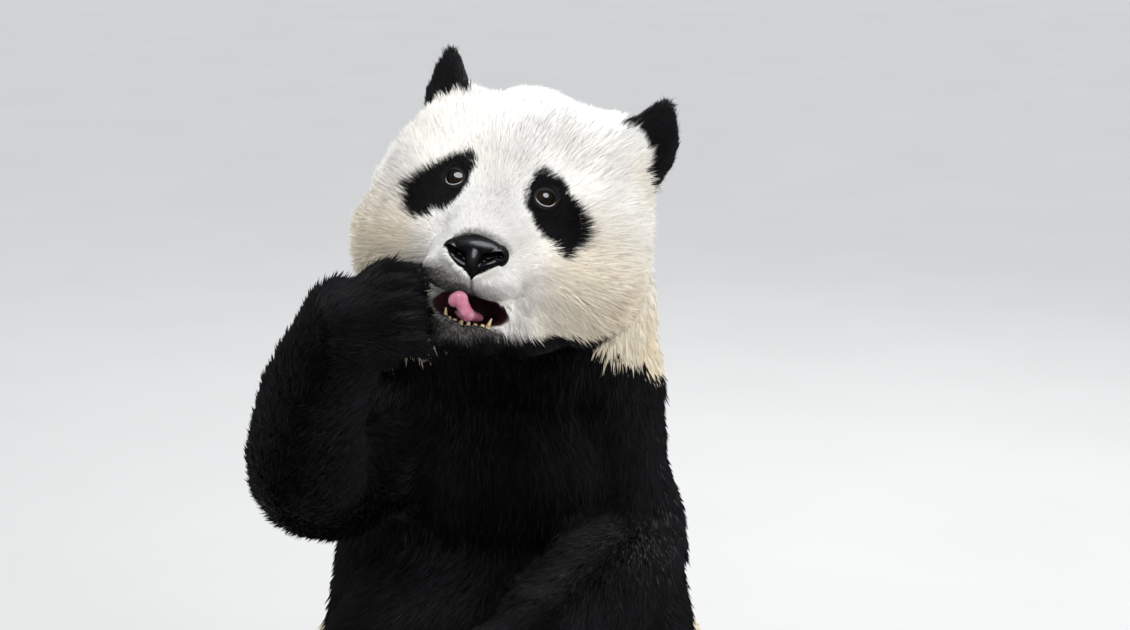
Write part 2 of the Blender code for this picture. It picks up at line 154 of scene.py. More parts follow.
EYE_ON_FACE = (5.65, 2.53)        # where each eye looks out, across and up, in head units
NOSE_PLACE = (0.45, -15.45, -6.15)

# Depth, length and width of the tufts on each part of the body, in millimetres.
COATS = {
    "neck": (15, 34, 1.2), "chest": (15, 34, 1.2), "belly": (15, 36, 1.6), "tail": (9, 30, 1.5),
    "upper_arm": (14, 32, 1.2), "forearm": (13, 30, 1.15), "forepaw": (9, 20, 1.0),
    "thigh": (13, 32, 1.5), "shank": (11, 26, 1.35), "hind_foot": (6, 13, 1.0),
    "ear": (6, 15, 0.8), "head": (9, 20, 1.0), "jaw": (4, 10, 0.8), "nose": (2, 5, 0.6),
}


def object_of(name, mesh):
    obj = bpy.data.objects.new(name, mesh)
    bpy.context.scene.collection.objects.link(obj)
    return obj


def mesh_of(bm, name):
    """Turns a bmesh into a mesh and frees it."""
    mesh = bpy.data.meshes.new(name)
    bm.to_mesh(mesh)
    bm.free()
    return mesh


def solid_of(name):
    """A copy of a solid as a bmesh, with its corners joined."""
    bm = bmesh.new()
    bm.from_mesh(nodes[name].data)
    bmesh.ops.remove_doubles(bm, verts=bm.verts, dist=1e-6)
    return bm


def tree_of(names):
    """A search tree over the named solids, and the number in FLESH that each face belongs to."""
    vertices, faces, owner = [], [], []
    for name in names:
        mesh, start = nodes[name].data, len(vertices)
        vertices += [vertex.co.copy() for vertex in mesh.vertices]
        faces += [tuple(start + i for i in face.vertices) for face in mesh.polygons]
        owner += [FLESH.index(name)] * len(mesh.polygons)
    return BVHTree.FromPolygons(vertices, faces), owner


def modified(obj, kind, **settings):
    """Applies one modifier to the object's mesh."""
    modifier = obj.modifiers.new(kind, kind)
    for key, value in settings.items():
        setattr(modifier, key, value)
    bpy.context.view_layer.update()
    graph = bpy.context.evaluated_depsgraph_get()
    mesh = bpy.data.meshes.new_from_object(obj.evaluated_get(graph))
    obj.modifiers.clear()
    obj.data = mesh
    return obj


def fused_flesh():
    whole = bmesh.new()
    for name in FLESH:
        piece = solid_of(name)
        piece.normal_update()
        for vertex in piece.verts:
            vertex.co += vertex.normal * OVERLAP * min(vertex.calc_shell_factor(), 2)
        mesh = mesh_of(piece, name)
        whole.from_mesh(mesh)
        bpy.data.meshes.remove(mesh)
    obj = object_of("skin", mesh_of(whole, "skin"))
    modified(obj, "REMESH", mode="VOXEL", voxel_size=GRAIN)
    return modified(obj, "SMOOTH", factor=0.5, iterations=FUSED_EVENED)


def column(data, field, width=1, whole=False):
    """One field of every vertex, edge or face, in rows of this width. whole: whole numbers."""
    out = np.empty(len(data) * width, np.int32 if whole else np.float32)
    data.foreach_get(field, out)
    out = out if whole else out.astype(float)
    return out if width == 1 else out.reshape(-1, width)


def places(mesh):
    return column(mesh.vertices, "co", 3)


def normals(mesh):
    return column(mesh.vertex_normals, "vector", 3)


def put_places(mesh, points):
    mesh.vertices.foreach_set("co", points.ravel().astype(np.float32))
    mesh.update()


def edges_of(mesh):
    return column(mesh.edges, "vertices", 2, whole=True)


def spread(values, edges, rounds):
    """Each vertex's values mixed with its neighbours', a number of times."""
    a, b = edges.T
    count = np.bincount(edges.ravel(), minlength=len(values))
    for _ in range(rounds):
        total = np.stack([np.bincount(a, column[b], len(values))
                          + np.bincount(b, column[a], len(values)) for column in values.T], 1)
        values = (values + total / count[:, None]) / 2
    return values


def made_finer(obj, chosen):
    """Splits each side of the chosen faces in two. chosen tells from middles in head units."""
    bm = bmesh.new()
    bm.from_mesh(obj.data)
    bm.faces.ensure_lookup_table()
    middles = to_head(np.array([face.calc_center_median() for face in bm.faces]))
    picked = np.flatnonzero(chosen(*middles.T))
    edges = {edge for index in picked for edge in bm.faces[index].edges}
    bmesh.ops.subdivide_edges(bm, edges=list(edges), cuts=1, use_grid_fill=True)
    points = to_head(np.array([vertex.co for vertex in bm.verts]))
    bm.verts.ensure_lookup_table()
    near = [bm.verts[i] for i in np.flatnonzero(chosen(*points.T))]
    for _ in range(2):
        bmesh.ops.smooth_vert(bm, verts=near, factor=0.5, use_axis_x=True, use_axis_y=True,
                              use_axis_z=True)
    bm.to_mesh(obj.data)
    bm.free()


def face_region(x, y, z):
    return (y < -3) & (abs(x) < 10.5) & (z > -19) & (z < 7.5)


def features_region(x, y, z):
    eyes = np.hypot(abs(x) - 5.3, z - 2.2) < 3.6
    mouth = (abs(x) < 6.5) & (z < -3.5) & (z > -16.5) & (y < -8)
    return (y < -3) & (eyes | mouth)


def lips_and_lids_restored(obj):
    """Fusing rounds off thin edges, so here the fine faces go back onto the solids' surface."""
    mesh = obj.data
    points = places(mesh)
    x, y, z = to_head(points).T
    tree, _ = tree_of(("head", "jaw"))
    share = ramp(7.0, 5.5, abs(x)) * ramp(-17.5, -16.0, z) * ramp(-7.0, -9.0, z) * ramp(-7, -9, y)
    near = np.flatnonzero(share > 0.01)
    found = [tree.find_nearest(Vector(point)) for point in points[near]]
    share = share[near] * ramp(0.006, 0.003, np.array([hit[3] for hit in found]))
    points[near] += share[:, None] * (np.array([hit[0] for hit in found]) - points[near])
    softened = spread(points, edges_of(mesh), 2)
    points[near] = softened[near]
    put_places(mesh, points)


def body_evened(obj):
    """Soft folds in place of the solids' facets, everywhere behind the face."""
    points, edges = places(obj.data), edges_of(obj.data)
    local = to_head(points)
    face = (1 - ramp(0, 8, local[:, 1])) * (np.linalg.norm(local, axis=1) < 26)
    share = np.clip(1 - face, 0, 1)[:, None]
    low = ramp(0.13, 0.05, points[:, 2])[:, None]
    points += share * (1 - low) * (spread(points, edges, BODY_EVENED) - points)
    put_places(obj.data, points)


skin = fused_flesh()
body_evened(skin)
made_finer(skin, face_region)
made_finer(skin, features_region)
lips_and_lids_restored(skin)


# ---------------- the coat's plan
# For every place on the skin: which part of the body it is on, the way its hair lies, how long
# and deep it is, and how black, warm or grey, the grey holding some painted shade. The tufts read
# this plan where they are rooted.
HEAD_PARTS = ("head", "jaw", "nose")
EARS = ("ear_left", "ear_right")


def nearest_parts(points):
    """Each place's nearest solid, by its number in FLESH, and how much nearer a limb is than
    the trunk, in metres."""
    limbs = [name for name in FLESH if name.endswith(("_left", "_right"))]
    whole, owner = tree_of(FLESH)
    limb_tree, _ = tree_of(limbs)
    trunk_tree, _ = tree_of([name for name in FLESH if name not in limbs])
    part, toward = np.empty(len(points), int), np.empty(len(points))
    for row, point in enumerate(points):
        place = Vector(point)
        part[row] = owner[whole.find_nearest(place)[2]]
        toward[row] = trunk_tree.find_nearest(place)[3] - limb_tree.find_nearest(place)[3]
    return part, toward


def on_any(part, names):
    """Which places are on one of the named solids."""
    return np.isin(part, [FLESH.index(name) for name in names])


NEXT_OUT = {                      # where each part's hair points, and how far it hangs as well
    "upper_arm": ("forearm_{}", 0.7), "forearm": ("forepaw_{}", 0.7),
    "thigh": ("shank_{}", 0.9), "shank": ("hind_foot_{}", 0.9),
    "forepaw": ("fore_claw_{}_3", 0), "hind_foot": ("hind_claw_{}_3", 0),
}
RISING = 0.3                      # a part that points up more than this has no hanging hair


def lie_of(points, part):
    """The way the hair points: from the nose back over the head, then down and out along limbs."""
    lie = np.tile((0.0, 0.12, -1.0), (len(points), 1))
    for number, name in enumerate(FLESH):
        on = part == number
        word, _, side = name.rpartition("_")
        if word in NEXT_OUT:
            beyond, hang = NEXT_OUT[word]
            along = (middle_of(beyond.format(side)) - middle_of(name)).normalized()
            lie[on] = np.array(along) - (0, 0, 0 if along.z > RISING else hang)
        elif word == "ear":
            sign = LEFT if side == "left" else RIGHT
            lie[on] = turned_by_head((0.55 * sign, 0.1, 0.85))
    head = on_any(part, HEAD_PARTS)
    local = to_head(points[head])
    outward = unit_rows(local - (0, -16.5, -5.5))
    fall = ramp(-1, 9, local[:, 1])[:, None]
    lie[head] = turned_by_head(outward * (1 - fall) + np.array((0, 0.2, -1.0)) * fall)
    return lie


# Depth, length and width of the tufts about the face, in millimetres.
NOSE_HAIR, CHEEK_HAIR = (2.0, 5.8, 0.60), (12, 24, 1.0)
CHIN_HAIR, LIP_HAIR, EYE_HAIR = (5, 13, 0.95), (1.0, 5, 0.7), (2.2, 7, 0.75)


def sizes_of(points, part):
    """Depth, length and width of the tufts, in metres."""
    sizes = np.empty((len(points), 3))
    for number, name in enumerate(FLESH):
        word = name.rpartition("_")[0] if name.endswith(("_left", "_right")) else name
        sizes[part == number] = COATS[word]
    local = to_head(points)
    from_nose = np.linalg.norm(local - (0, -16, -6), axis=1)
    far = ramp(2.5, 21, from_nose)[:, None]
    face = np.array(NOSE_HAIR) * (1 - far) + np.array(CHEEK_HAIR) * far
    on_face = on_any(part, HEAD_PARTS)
    sizes[on_face] = face[on_face]
    sizes[on_face & (local[:, 2] < -13.5)] = CHIN_HAIR
    near_mouth = np.hypot(local[:, 0] / 5.0, (local[:, 2] + 12.3) / 2.6)
    by_mouth = np.where(on_face & (local[:, 1] < -9), 1 - ramp(1.0, 1.8, near_mouth), 0)[:, None]
    sizes = sizes * (1 - by_mouth) + np.array(LIP_HAIR) * by_mouth
    near_eye = np.hypot(abs(local[:, 0]) - EYE_ON_FACE[0], local[:, 2] - EYE_ON_FACE[1])
    by_eye = np.where(on_face & (local[:, 1] < 0), 1 - ramp(1.6, 6, near_eye), 0)[:, None]
    sizes = sizes * (1 - by_eye) + np.array(EYE_HAIR) * by_eye
    return sizes / 1000


# The black marks. Each function gives how far inside its mark a place lies, in metres.
PATCH_MIDDLE = (7.0, 1.1)         # of an eye's black patch, across and up, in head units
PATCH_HALF = (2.6, 4.9)
PATCH_SLANT = math.radians(35)


def in_eye_patch(local):
    across, up = abs(local[:, 0]) - PATCH_MIDDLE[0], local[:, 2] - PATCH_MIDDLE[1]
    c, s = math.cos(PATCH_SLANT), math.sin(PATCH_SLANT)
    u, v = across * c + up * s, -across * s + up * c
    u -= 0.3 * ramp(2, -2, v) - 0.25
    wide = PATCH_HALF[0] * (1 - 0.13 * v / PATCH_HALF[1])
    inside = 1 - (abs(u / wide) ** 2.3 + abs(v / PATCH_HALF[1]) ** 2.3) ** (1 / 2.3)
    return np.where(local[:, 1] < -1, inside * 3.2 * UNIT, -1)


# Edges of the black band from front to back, as Y and height, and how far it drops at the arms.
BAND_TOP = ((-0.36, -0.24, -0.10, 0.0, 0.12), (0.700, 0.668, 0.612, 0.600, 0.605))
BAND_BOTTOM = ((-0.32, -0.20, 0.0, 0.14), (0.285, 0.330, 0.400, 0.445))
BAND_DROP = 0.16


def in_shoulder_band(points):
    """Black over the chest and shoulders, up to the throat, lower behind the arms."""
    x, y, z = points.T
    top, bottom = np.interp(y, *BAND_TOP), np.interp(y, *BAND_BOTTOM)
    bottom -= BAND_DROP * ramp(0.11, 0.20, abs(x)) * ramp(0.10, -0.06, y)
    return np.minimum(top - z, z - bottom)


EAR_TOP = (                       # its outline from the root out, from the ear's middle
    (-6.0, -4.5, -3.1, -1.6, -0.4, 0.5, 1.4, 2.8, 4.5, 6.2),
    (1.0, 1.0, 0.9, 2.0, 3.8, 5.2, 5.9, 5.3, 2.8, -1.0),
)
EAR_ROOT = -3.1
EAR_REACH, EAR_HEIGHT = 0.085, 0.046     # round the ear's middle, and from it down to the root


def from_ear(local, side):
    """How far out and up from the ear's middle each place is, in head units."""
    middle = to_head(np.array([middle_of("ear_" + SIDES[side])]))[0]
    return (local[:, 0] - middle[0]) * side, local[:, 2] - middle[2]


def in_ear(points, part):
    inside = np.full(len(points), -1.0)
    for side, word in SIDES.items():
        middle = np.array(middle_of("ear_" + word))
        up = turned_by_head((0.62 * side, 0, 0.78))[0]
        near = np.linalg.norm(points - middle, axis=1) < EAR_REACH
        out, _ = from_ear(to_head(points), side)
        on = near & (part == FLESH.index("ear_" + word)) & (out > EAR_ROOT)
        rise = (points - middle) @ up + EAR_HEIGHT
        close = near & (rise > 0.02)
        inside = np.where(on, np.maximum(rise, 0.002), np.where(close, -0.010, inside))
    return inside


PAW_AT_FACE = 0.006               # the raised paw's black reaches this much nearer the face, and the black band this leaves on the jaw beside the paw is painted shade of the paw


def black_of(points, part, toward):
    """How far inside any black mark each place is: limb, eye patch, shoulder band or ear."""
    local = to_head(points)
    arm = on_any(part, [name for name in FLESH if name.startswith("fore")])
    in_head = np.linalg.norm(local, axis=1) < 20
    face = in_head & (local[:, 1] < -6)
    upper = in_head & (local[:, 2] > -8) & ~arm & ~face
    # On the face the limb's black reaches 6 mm past the paw's edge: a band of painted paw shade on
    # the jaw.
    limb = np.where(on_any(part, EARS) | upper, -1, toward) + PAW_AT_FACE * face
    marks = [limb, in_eye_patch(local), in_shoulder_band(points), in_ear(points, part)]
    return np.max(marks, axis=0)


def warmth_of(points, local):
    """Cream and tan in the coat: under the cheeks, at the ears' roots, on neck and belly."""
    cheek = ramp(5, -7, local[:, 2]) * ramp(4, 11, abs(local[:, 0])) * ramp(-14, -9, local[:, 1])
    ear = 1 - ramp(2, 7, np.linalg.norm(np.stack(
        (abs(local[:, 0]) - 14.0, local[:, 1] - 1.0, local[:, 2] - 6.5), 1), axis=1))
    body = ramp(0.70, 0.60, points[:, 2]) * 0.28
    low = ramp(0.16, 0.0, points[:, 2]) * 0.4
    return np.clip(0.9 * cheek + 0.5 * ear + body + low, 0, 1)


DARKEST = 1.2                     # over 1, so that few pale hairs are left on the chin, which is darkened partly as painted shade under the jaw and raised paw


def grey_and_shade_of(local):
    """Dark hair among white over the nose, along the upper lip, on the lower lip and the chin,
    with
    painted shade: the right half of the upper lip and the chin are darker partly as painted shadow
    of the raised paw and the jaw.
    """
    x, y, z = local.T
    # The upper lip's right half (x below 0) is grey higher up and darker: painted shadow of the
    # raised paw, over its real dark lip hair.
    lip = ramp(-7.6, -10.6, z + 1.3 * np.clip(x / 3, -1, 0))
    lip *= ramp(6.4, 3.8, abs(x + 0.7)) * ramp(-9, -12, y)
    lip *= 0.92 - 0.26 * np.clip(x / 3, -1, 1)
    muzzle = 0.22 * ramp(-8, -12, y) * ramp(8.0, 5.0, abs(x))
    # The chin's darkness is partly its dark hair and partly painted shade under the jaw and the
    # raised paw.
    chin = ramp(-13.2, -14.2, z) * ramp(9.0, 6.0, abs(x)) * ramp(-4, -8, y) * DARKEST
    brow = 1 - ramp(0.95, 1.35, np.hypot((x - 0.7) / 3.3, (z + 5.8) / 2.4))
    brow *= ramp(-5.9, -4.5, z) * (y < -12) * 0.75
    return np.clip(np.max((lip, chin, brow, muzzle), axis=0), 0, DARKEST)


def in_nose(local):
    """How far inside the outline of the nose leather, in head units: round above, a V below."""
    x, y, z = local.T
    x, z = x - NOSE_PLACE[0] - 0.087 * (NOSE_PLACE[2] - z), z - NOSE_PLACE[2]
    above = 3.75 * np.sqrt(np.clip(1 - ((z - 0.45) / 2.0) ** 2, 0, 1))
    below = 3.75 * (1 - (np.clip(0.45 - z, 0, 9) / 3.1) ** 1.6)
    return np.where(y < -12.5, np.where(z > 0.45, above, below) - abs(x), -9)


SOLES = {"fore": Vector((0.1, 0.6, -0.7)), "hind": Vector((0, -1, 0))}   # where they face


def paws_of(points):
    """For each paw, where the places lie: across the toes, along them and out of the sole, all
    from the middle of its claws, and where across each toe is."""
    for kind, foot in (("fore", "forepaw_"), ("hind", "hind_foot_")):
        for word in SIDES.values():
            claws = [middle_of(f"{kind}_claw_{word}_{i}") for i in range(1, 6)]
            centre = sum(claws, Vector()) / 5
            across = (claws[4] - claws[0]).normalized()
            along = centre - middle_of(foot + word)
            along = (along - along.dot(across) * across).normalized()
            under = along.cross(across)
            under *= math.copysign(1, under.dot(SOLES[kind]))
            spots = np.array([(claw - centre).dot(across) for claw in claws])
            seen = ((points - np.array(centre)) @ np.array((across, along, under)).T).T
            yield FLESH.index(foot + word), kind, *seen, spots


def pads_of(points, part):
    """How much a place is on one of the leather pads under a paw."""
    found = np.zeros(len(points))
    for number, kind, across, along, under, spots in paws_of(points):
        toe = abs(across[:, None] - spots).min(axis=1) / 0.0075
        toes = 1 - ramp(0.85, 1.15, np.hypot(toe, (along + 0.030) / 0.010))
        bend = along + 0.062 + 6 * across ** 2
        ball = 1 - ramp(0.85, 1.15, np.hypot(across / 0.036, bend / 0.013))
        if kind == "fore":
            heel = np.hypot((across + 0.020) / 0.015, (along + 0.098) / 0.012)
            ball = np.maximum(ball, 1 - ramp(0.85, 1.15, heel))
        on = (part == number) & (under > 0.004)
        found = np.maximum(found, np.where(on, np.maximum(toes, ball), 0))
    return found


def toes_of(points, part):
    """From 1 on the ridge of a toe to -1 in the crease between two."""
    found = np.zeros(len(points))
    for number, kind, across, along, under, spots in paws_of(points):
        gap = abs(np.diff(spots)).mean() / 2
        off = np.clip(abs(across[:, None] - spots).min(axis=1) / gap, 0, 1)
        near = ramp(-0.066, -0.040, along) * (part == number)
        found += near * np.cos(math.pi * off)
    return found


def bareness_of(local):
    """1 where no hair grows: under the nose leather, in the mouth and on the eyes."""
    x, y, z = local.T
    nose = ramp(-0.05, 0.25, in_nose(local))
    mouth_y, mouth_z = (y + 9.6) / 6.9, (z + 12.2) / 1.8
    mouth = 1 - ramp(1.0, 1.14, np.sqrt((x / 4.5) ** 2 + mouth_y ** 2 + mouth_z ** 2))
    eye = 1 - ramp(1.35, 1.6, np.hypot(abs(x) - EYE_ON_FACE[0], z - EYE_ON_FACE[1]))
    eye = np.where(y < -5, eye, 0)
    return np.max((nose, mouth, eye), axis=0)


def attribute(mesh, name, values):
    kind = "FLOAT_VECTOR" if values.ndim == 2 else "FLOAT"
    data = mesh.attributes.new(name, kind, "POINT").data
    field = "vector" if values.ndim == 2 else "value"
    data.foreach_set(field, values.ravel().astype(np.float32))


surface = places(skin.data)
edges = edges_of(skin.data)
part, toward = nearest_parts(surface)
facing = normals(skin.data)
lie = lie_of(surface, part)
for _ in range(LIE_EVENED):
    lie = flat_on(spread(lie, edges, 6), facing)
lie = unit_rows(lie)
sizes = spread(sizes_of(surface, part), edges, 8)
local = to_head(surface)
pads = pads_of(surface, part)
bare = np.maximum(bareness_of(local), pads)
inside = ramp(-13.6, -11.5, local[:, 1]) * (local[:, 2] < -9) * on_any(part, HEAD_PARTS)
for name, values in (
        ("lie", lie), ("sizes", sizes), ("black", black_of(surface, part, toward)),
        ("warm", warmth_of(surface, local)), ("grey", grey_and_shade_of(local)), ("bare", bare),
        ("inside", inside), ("part", part.astype(float))):
    attribute(skin.data, name, values)

# The hide is drawn in by the coat's depth, and the depth under bare leather is small.
depth = spread(sizes[:, :1] * (1 - 0.8 * bare[:, None]), edges, 3)
inner = surface - spread(facing, edges, 3) * depth
ridges = 0.0035 * toes_of(surface, part) + 0.002 * pads
inner += spread(facing, edges, 2) * ridges[:, None]
put_places(skin.data, spread(inner, edges, 2))


# ---------------- eyes
# A nearly black brown ball, wet and glossy, with a wide iris that fills the opening. It sits a
# little deeper than the solid one, so that the lids can close round it.
EYE_RADIUS = 1.45 * UNIT
GAZE = Vector((0.40, -0.90, 0.16))    # of the left eye, in the head's frame
EYE_SUNK, EYE_ASIDE = 0.0037, 0.0036


class Knot:
    """An output of a material's nodes. Sums on it add the Math nodes that work them out."""

    def __init__(self, tree, socket):
        self.tree, self.socket = tree, socket

    def node(self, kind, output, settings=(), **inputs):
        """Adds a node and gives one of its outputs. Inputs are values or links for its sockets."""
        made = self.tree.nodes.new(kind)
        for key, value in dict(settings).items():
            setattr(made, key, value)
        for key, value in inputs.items():
            socket = made.inputs[int(key[1:]) if key[1:].isdigit() else key.replace("_", " ")]
            if isinstance(value, Knot):
                self.tree.links.new(value.socket, socket)
            else:
                socket.default_value = value
        return Knot(self.tree, made.outputs[output])

    def maths(self, operation, first, second):
        return self.node("ShaderNodeMath", 0, {"operation": operation}, i0=first, i1=second)

    def __add__(self, other):
        return self.maths("ADD", self, other)

    def __mul__(self, other):
        return self.maths("MULTIPLY", self, other)

    def __rsub__(self, other):
        return self.maths("SUBTRACT", other, self)

    def between(self, low, high):
        """0 at low, 1 at high, smooth between. Low may be the larger."""
        return self.node("ShaderNodeMapRange", 0, {"interpolation_type": "SMOOTHSTEP"},
                         Value=self, From_Min=low, From_Max=high)

    def mix(self, first, second):
        """Colour first where this is 0, second where it is 1."""
        first, second = (end if isinstance(end, Knot) else (*end, 1) for end in (first, second))
        return self.node("ShaderNodeMix", 2, {"data_type": "RGBA"}, i0=self, i6=first, i7=second)

    def noise(self, scale, detail):
        return self.node("ShaderNodeTexNoise", 0, Vector=self.here(), Scale=scale, Detail=detail)

    def cells(self, feature, scale):
        return self.node("ShaderNodeTexVoronoi", "Distance", {"feature": feature},
                         Vector=self.here(), Scale=scale)

    def here(self):
        """The place on the piece, in metres."""
        return self.node("ShaderNodeTexCoord", "Object")

    def read(self, name):
        """A number stored on the mesh."""
        return self.node("ShaderNodeAttribute", "Fac", {"attribute_name": name})

    def bump(self, height, distance, strength=1.0):
        return self.node("ShaderNodeBump", 0, Height=height, Distance=distance, Strength=strength)


def material(name, build, **constants):
    """A Principled material. build(knot) gives its varying sockets, constants the others."""
    made = bpy.data.materials.new(name)
    made.use_nodes = True
    tree = made.node_tree
    shader = tree.nodes["Principled BSDF"]
    for key, value in constants.items():
        shader.inputs[key.replace("_", " ")].default_value = value
    for key, value in build(Knot(tree, None)).items():
        tree.links.new(value.socket, shader.inputs[key.replace("_", " ")])
    return made


def finish(obj, made, slot_name, *replaced):
    """Gives a piece its material and body, and hides the solids that it stands for; slot_name is
    not used.
    """
    obj.data.materials.clear()
    obj.data.materials.append(made)
    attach(obj, "root")
    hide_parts(*replaced)


def eye_frame(side):
    """The eye's place: its own +Z looks out, +X away from the nose, +Y up."""
    gaze = HEAD.to_3x3() @ Vector((GAZE.x * side, GAZE.y, GAZE.z))
    gaze.normalize()
    up = (HEAD.to_3x3() @ Vector((0, 0, 1))).normalized()
    across = up.cross(gaze).normalized()
    centre = middle_of("eye_" + SIDES[side]) - gaze * EYE_SUNK + across * EYE_ASIDE * side
    up = gaze.cross(across)
    turn = Matrix((across, up, gaze)).transposed().to_4x4()
    return Matrix.Translation(centre) @ turn


def eye_colours(knot):
    ring = knot.read("ring")
    streaks = knot.noise(900, 4)
    iris = streaks.between(0.35, 0.7).mix((0.002, 0.0012, 0.0006), (0.010, 0.0062, 0.0026))
    with_pupil = ring.between(0.46, 0.54).mix((0.001, 0.001, 0.001), iris)
    with_rim = ring.between(0.80, 0.92).mix(with_pupil, (0.006, 0.004, 0.003))
    # Beyond the iris the white of the eye is dark brown: partly its own dark colour, partly
    # painted shade under the lids.
    white = ring.between(1.0, 1.1).mix(with_rim, (0.020, 0.014, 0.012))
    return {"Base_Color": white}


eye_finish = material("eye", eye_colours, Roughness=0.05, Specular_IOR_Level=0.0,
                      Coat_Weight=0.16, Coat_Roughness=0.03)
IRIS_REACH = math.sin(math.radians(46))   # the iris ends this far from the eye's axis, in radii
CORNEA = 0.10                             # how far the clear front bulges, in radii
for side, word in SIDES.items():
    bm = bmesh.new()
    bmesh.ops.create_uvsphere(bm, u_segments=48, v_segments=32, radius=EYE_RADIUS)
    for vertex in bm.verts:
        reach = math.hypot(vertex.co.x, vertex.co.y) / EYE_RADIUS
        if vertex.co.z > 0:
            vertex.co.z += CORNEA * EYE_RADIUS * max(0, 1 - (reach / 0.75) ** 2) ** 1.5
    ball = mesh_of(bm, "eyeball_" + word)
    own = places(ball)
    ring = np.hypot(own[:, 0], own[:, 1]) / (EYE_RADIUS * IRIS_REACH)
    attribute(ball, "ring", np.where(own[:, 2] > 0, ring, 2))
    ball.transform(eye_frame(side))
    ball.shade_smooth()
    finish(object_of("eyeball_" + word, ball), eye_finish, "eye", "eye_" + word)

# The lids are folds of thin black hide round each opening, with a pale wet edge below: its own
# pale rim brightened into a painted gleam of the wet rim. Their outer edge runs in under the skin
# round the eye.
OPENING = (56, 36, 41)            # half angles of the opening: to its corners, up and down
LID_STEPS = [                     # outwards from the opening: angle and height over the ball
    (-2, -0.0004), (0, 0.0003), (2.5, 0.0009), (6, 0.0012), (9, 0.0008), (12, 0.0012),
    (17, 0.0014), (24, 0.0013), (32, 0.0010), (42, 0.0002),
]
LID_SIDES = 72


def lid_angle(around):
    """How far from the eye's axis the opening's edge lies, in the direction around."""
    across, above, below = OPENING
    c, s = math.cos(around), math.sin(around)
    tall = above if s > 0 else below
    round_edge = 1 / math.hypot(c / across, s / tall)
    inner_corner = 6 * max(0, -math.cos(around + 0.22)) ** 14
    outer_corner = 2 * max(0, math.cos(around - 0.10)) ** 14
    return round_edge + inner_corner + outer_corner


def lids(side):
    bm = bmesh.new()
    loops = []
    for step, height in LID_STEPS:
        loop = []
        for i in range(LID_SIDES):
            around = 2 * math.pi * i / LID_SIDES
            tilt = math.radians(lid_angle(around) + step)
            radius = EYE_RADIUS + height
            flat = Vector((math.cos(around) * side, math.sin(around), 0))
            loop.append(bm.verts.new(radius * (math.sin(tilt) * flat
                                               + Vector((0, 0, math.cos(tilt))))))
        loops.append([bm.edges.new((loop[i], loop[i - 1])) for i in range(LID_SIDES)])
    for inner, outer in zip(loops, loops[1:]):
        bmesh.ops.bridge_loops(bm, edges=inner + outer)
    bmesh.ops.recalc_face_normals(bm, faces=bm.faces)
    return bm


def lid_colours(knot):
    edge = knot.read("edge")
    grain = knot.noise(1400, 4)
    hide = grain.between(0.3, 0.8).mix((0.006, 0.006, 0.007), (0.022, 0.020, 0.021))
    # The pale colour of the lower edge is partly painted gleam of the wet rim.
    return {"Base_Color": edge.mix(hide, (0.38, 0.37, 0.38)),
            "Roughness": edge * -0.25 + 0.50,
            "Normal": knot.bump(grain, 0.0004)}


lid_finish = material("eyelid", lid_colours, Specular_IOR_Level=0.14)
for side, word in SIDES.items():
    bm = lids(side)
    if sum(face.normal.z for face in bm.faces) < 0:
        bmesh.ops.reverse_faces(bm, faces=bm.faces)
    mesh = mesh_of(bm, "eyelids_" + word)
    own = places(mesh)
    tilt = np.degrees(np.arctan2(np.hypot(own[:, 0], own[:, 1]), own[:, 2]))
    around = np.arctan2(own[:, 1], own[:, 0] * side)
    past = tilt - np.array([lid_angle(angle) for angle in around])
    # Pale only along the lower edge of the opening: its own pale rim, brightened as a painted
    # gleam of the wet rim lit from above.
    wet = (1 - ramp(0.3, 1.7, past)) * ramp(-0.05, -0.45, own[:, 1] / EYE_RADIUS)
    attribute(mesh, "edge", wet)
    mesh.transform(eye_frame(side))
    mesh.shade_smooth()
    lid = object_of("eyelids_" + word, mesh)
    rounding = lid.modifiers.new("round", "SUBSURF")
    rounding.levels = rounding.render_levels = 1
    finish(lid, lid_finish, "black_coat")


# ---------------- folds of the face
# The hide makes room for the eyeballs and lids, closes round the nose leather, and is parted
# below the nose by the groove that runs down to the lip.
def make_room_for_eyes(points):
    """The hide drops away under each eyeball and comes up to the outer edge of its lids."""
    for side in SIDES:
        place = np.array(eye_frame(side))
        away = (points - place[:3, 3]) / EYE_RADIUS
        height = away @ place[:3, 2]
        reach = np.linalg.norm(away - height[:, None] * place[:3, 2], axis=1)
        floor = 0.05 + (height - 0.05) * ramp(0.80, 1.0, reach)
        sink = (reach < 1) & (height > floor) & (height < 2)
        points = points + np.where(sink, (floor - height) * EYE_RADIUS, 0)[:, None] * place[:3, 2]
    return points


def make_room_for_nose(points):
    local = to_head(points)
    local[:, 1] += ramp(0.1, 0.8, in_nose(local)) * np.clip(-14.2 - local[:, 1], 0, 4)
    return from_head(local)


def ears_shaped(points):
    """Each ear's inner edge climbs in a hollow curve to a rounded tip."""
    local = to_head(points)
    on = np.zeros(len(points), bool)
    for side, word in SIDES.items():
        out, up = from_ear(local, side)
        over = up - np.interp(out, *EAR_TOP)
        pressed = (over > 0) & (up > -1.5) & (part == FLESH.index("ear_" + word))
        local[:, 2] -= np.where(pressed, 0.88 * over, 0)
        on |= pressed
    softened = spread(local, edges, 3)
    local[on] = softened[on]
    return from_head(local)


def lower_lip_raised(points):
    """A soft roll of lip that stands in front of the lower teeth."""
    local = to_head(points)
    x, y, z = local.T
    roll = np.exp(-((z + 14.75) / 0.65) ** 2) * ramp(4.8, 3.4, abs(x))
    roll *= ramp(-12.6, -13.2, y - 0.165 * x ** 2) * ramp(-2.6, -1.4, x)
    local[:, 2] += 0.50 * roll
    local[:, 1] -= 0.20 * roll
    return from_head(local)


